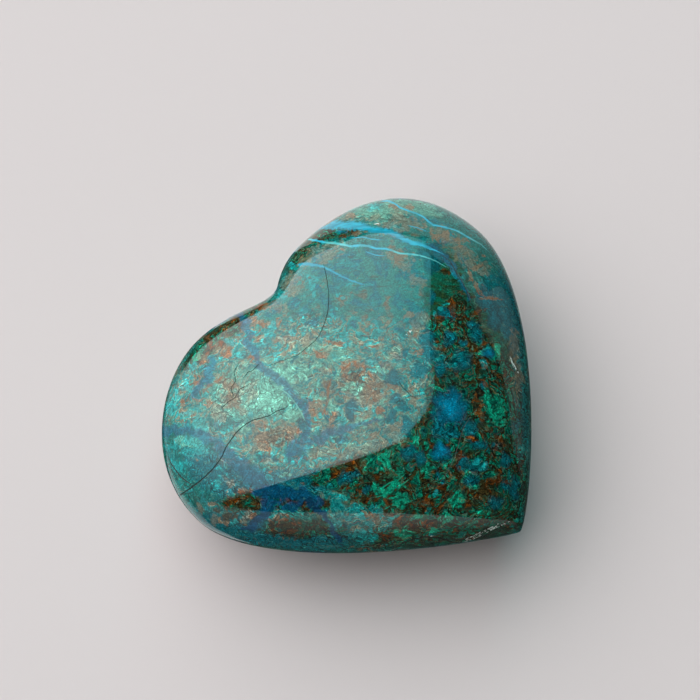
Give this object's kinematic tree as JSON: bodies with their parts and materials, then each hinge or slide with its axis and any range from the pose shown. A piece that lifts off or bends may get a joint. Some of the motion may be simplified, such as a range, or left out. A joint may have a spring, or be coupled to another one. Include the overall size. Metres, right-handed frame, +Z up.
{
  "type": "chrysocolla heart stone",
  "caption": "Polished puffed heart of solid chrysocolla, palm sized, blue-green with rust veins and a glassy finish; lies on its back.",
  "frame": {"origin": "middle of the bounding box in X and Y, on the small flat of the back that the stone rests on", "axes": "+X across the width to the right lobe, +Y from the tip to the lobes, +Z up through the domed front"},
  "size_m": [0.05, 0.0444, 0.0217],
  "materials": {
    "polished_chrysocolla": "polished to a glassy gloss; teal and blue-green patches, rust-brown matrix, bright blue veins and fine hairline cracks"
  },
  "bodies": {
    "root": {"heart_stone": "polished_chrysocolla"}
  },
  "joints": []
}
